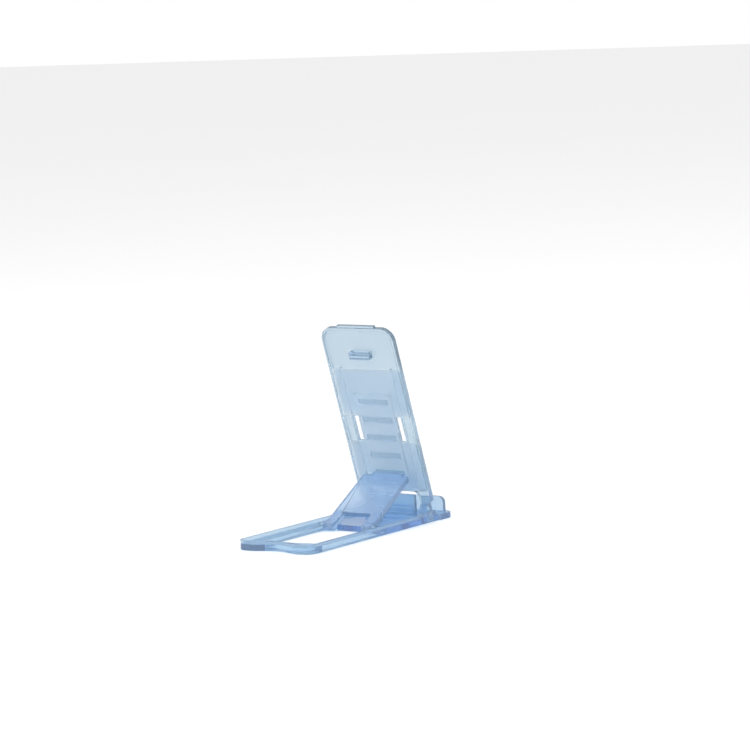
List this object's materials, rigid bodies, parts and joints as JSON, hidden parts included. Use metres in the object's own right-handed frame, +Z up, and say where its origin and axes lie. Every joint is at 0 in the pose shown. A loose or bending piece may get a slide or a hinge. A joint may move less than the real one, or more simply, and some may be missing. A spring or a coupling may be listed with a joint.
{
  "type": "folding tablet stand",
  "caption": "Narrow folding desk stand: flat base frame with a front lip, hinged back rest with a soft grip pad, and a pivoting prop strut that sets its lean.",
  "frame": {"origin": "on the desk, straight below the hinge between the base frame and the back rest, in the middle of the stand's width", "axes": "+Z up, +Y towards the rear end of the base frame, X across the stand; the device leans on the -Y face of the back rest"},
  "size_m": [0.0518, 0.131, 0.1109],
  "materials": {
    "clear_plastic": "transparent pale blue, glossy, deeper blue seen through its edges",
    "strut_plastic": "translucent mid blue, slightly frosted",
    "pad": "milky, soft and matt"
  },
  "bodies": {
    "base": {"base_frame": "clear_plastic"},
    "back_rest": {"back_rest": "clear_plastic", "grip_pad": "pad"},
    "strut": {"prop_strut": "strut_plastic"}
  },
  "joints": [
    {"name": "rest_hinge", "type": "hinge", "parent": "base", "child": "back_rest", "pos_m": [0, 0, 0.0035], "axis": [-1, 0, 0], "range_deg": [0, 72.4]},
    {"name": "strut_hinge", "type": "hinge", "parent": "base", "child": "strut", "pos_m": [0, 0.0448, 0.0026], "axis": [-1, 0, 0], "range_deg": [0, 149.6]}
  ],
  "couplings": [
    {"joint": "strut_hinge", "follows": "rest_hinge", "ratio": 2.0651}
  ]
}
